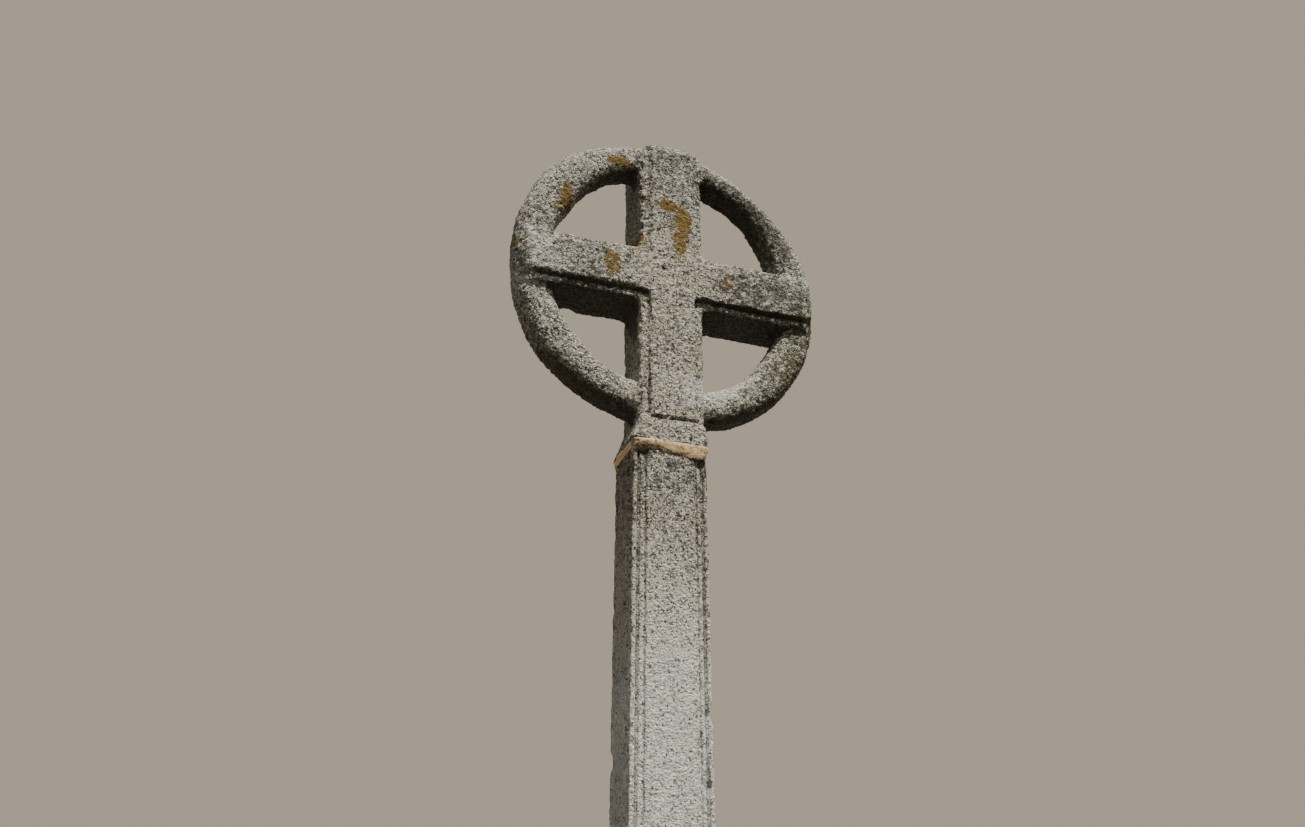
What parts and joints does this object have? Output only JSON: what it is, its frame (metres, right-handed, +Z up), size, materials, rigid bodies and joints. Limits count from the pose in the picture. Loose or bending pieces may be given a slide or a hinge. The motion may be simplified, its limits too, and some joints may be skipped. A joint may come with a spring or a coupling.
{
  "type": "ringed cross memorial",
  "caption": "Weathered granite cross with a ring round its crossing, on a tall shaft with reeded corners, a sloped plinth and a low step.",
  "frame": {"origin": "middle of the base step's underside", "axes": "+Z up along the shaft, +X along the crossbar to the right of somebody who faces the front, -Y towards the front"},
  "size_m": [0.9, 0.9, 3.4396],
  "materials": {
    "head_granite": "weathered coarse granite with pale and orange lichen",
    "shaft_granite": "weathered coarse granite",
    "plinth_granite": "tooled granite",
    "mortar": "rough lime mortar"
  },
  "bodies": {
    "root": {"cross_head": "head_granite", "mortar_joint": "mortar", "shaft": "shaft_granite", "plinth": "plinth_granite", "base_step": "plinth_granite"}
  },
  "joints": []
}
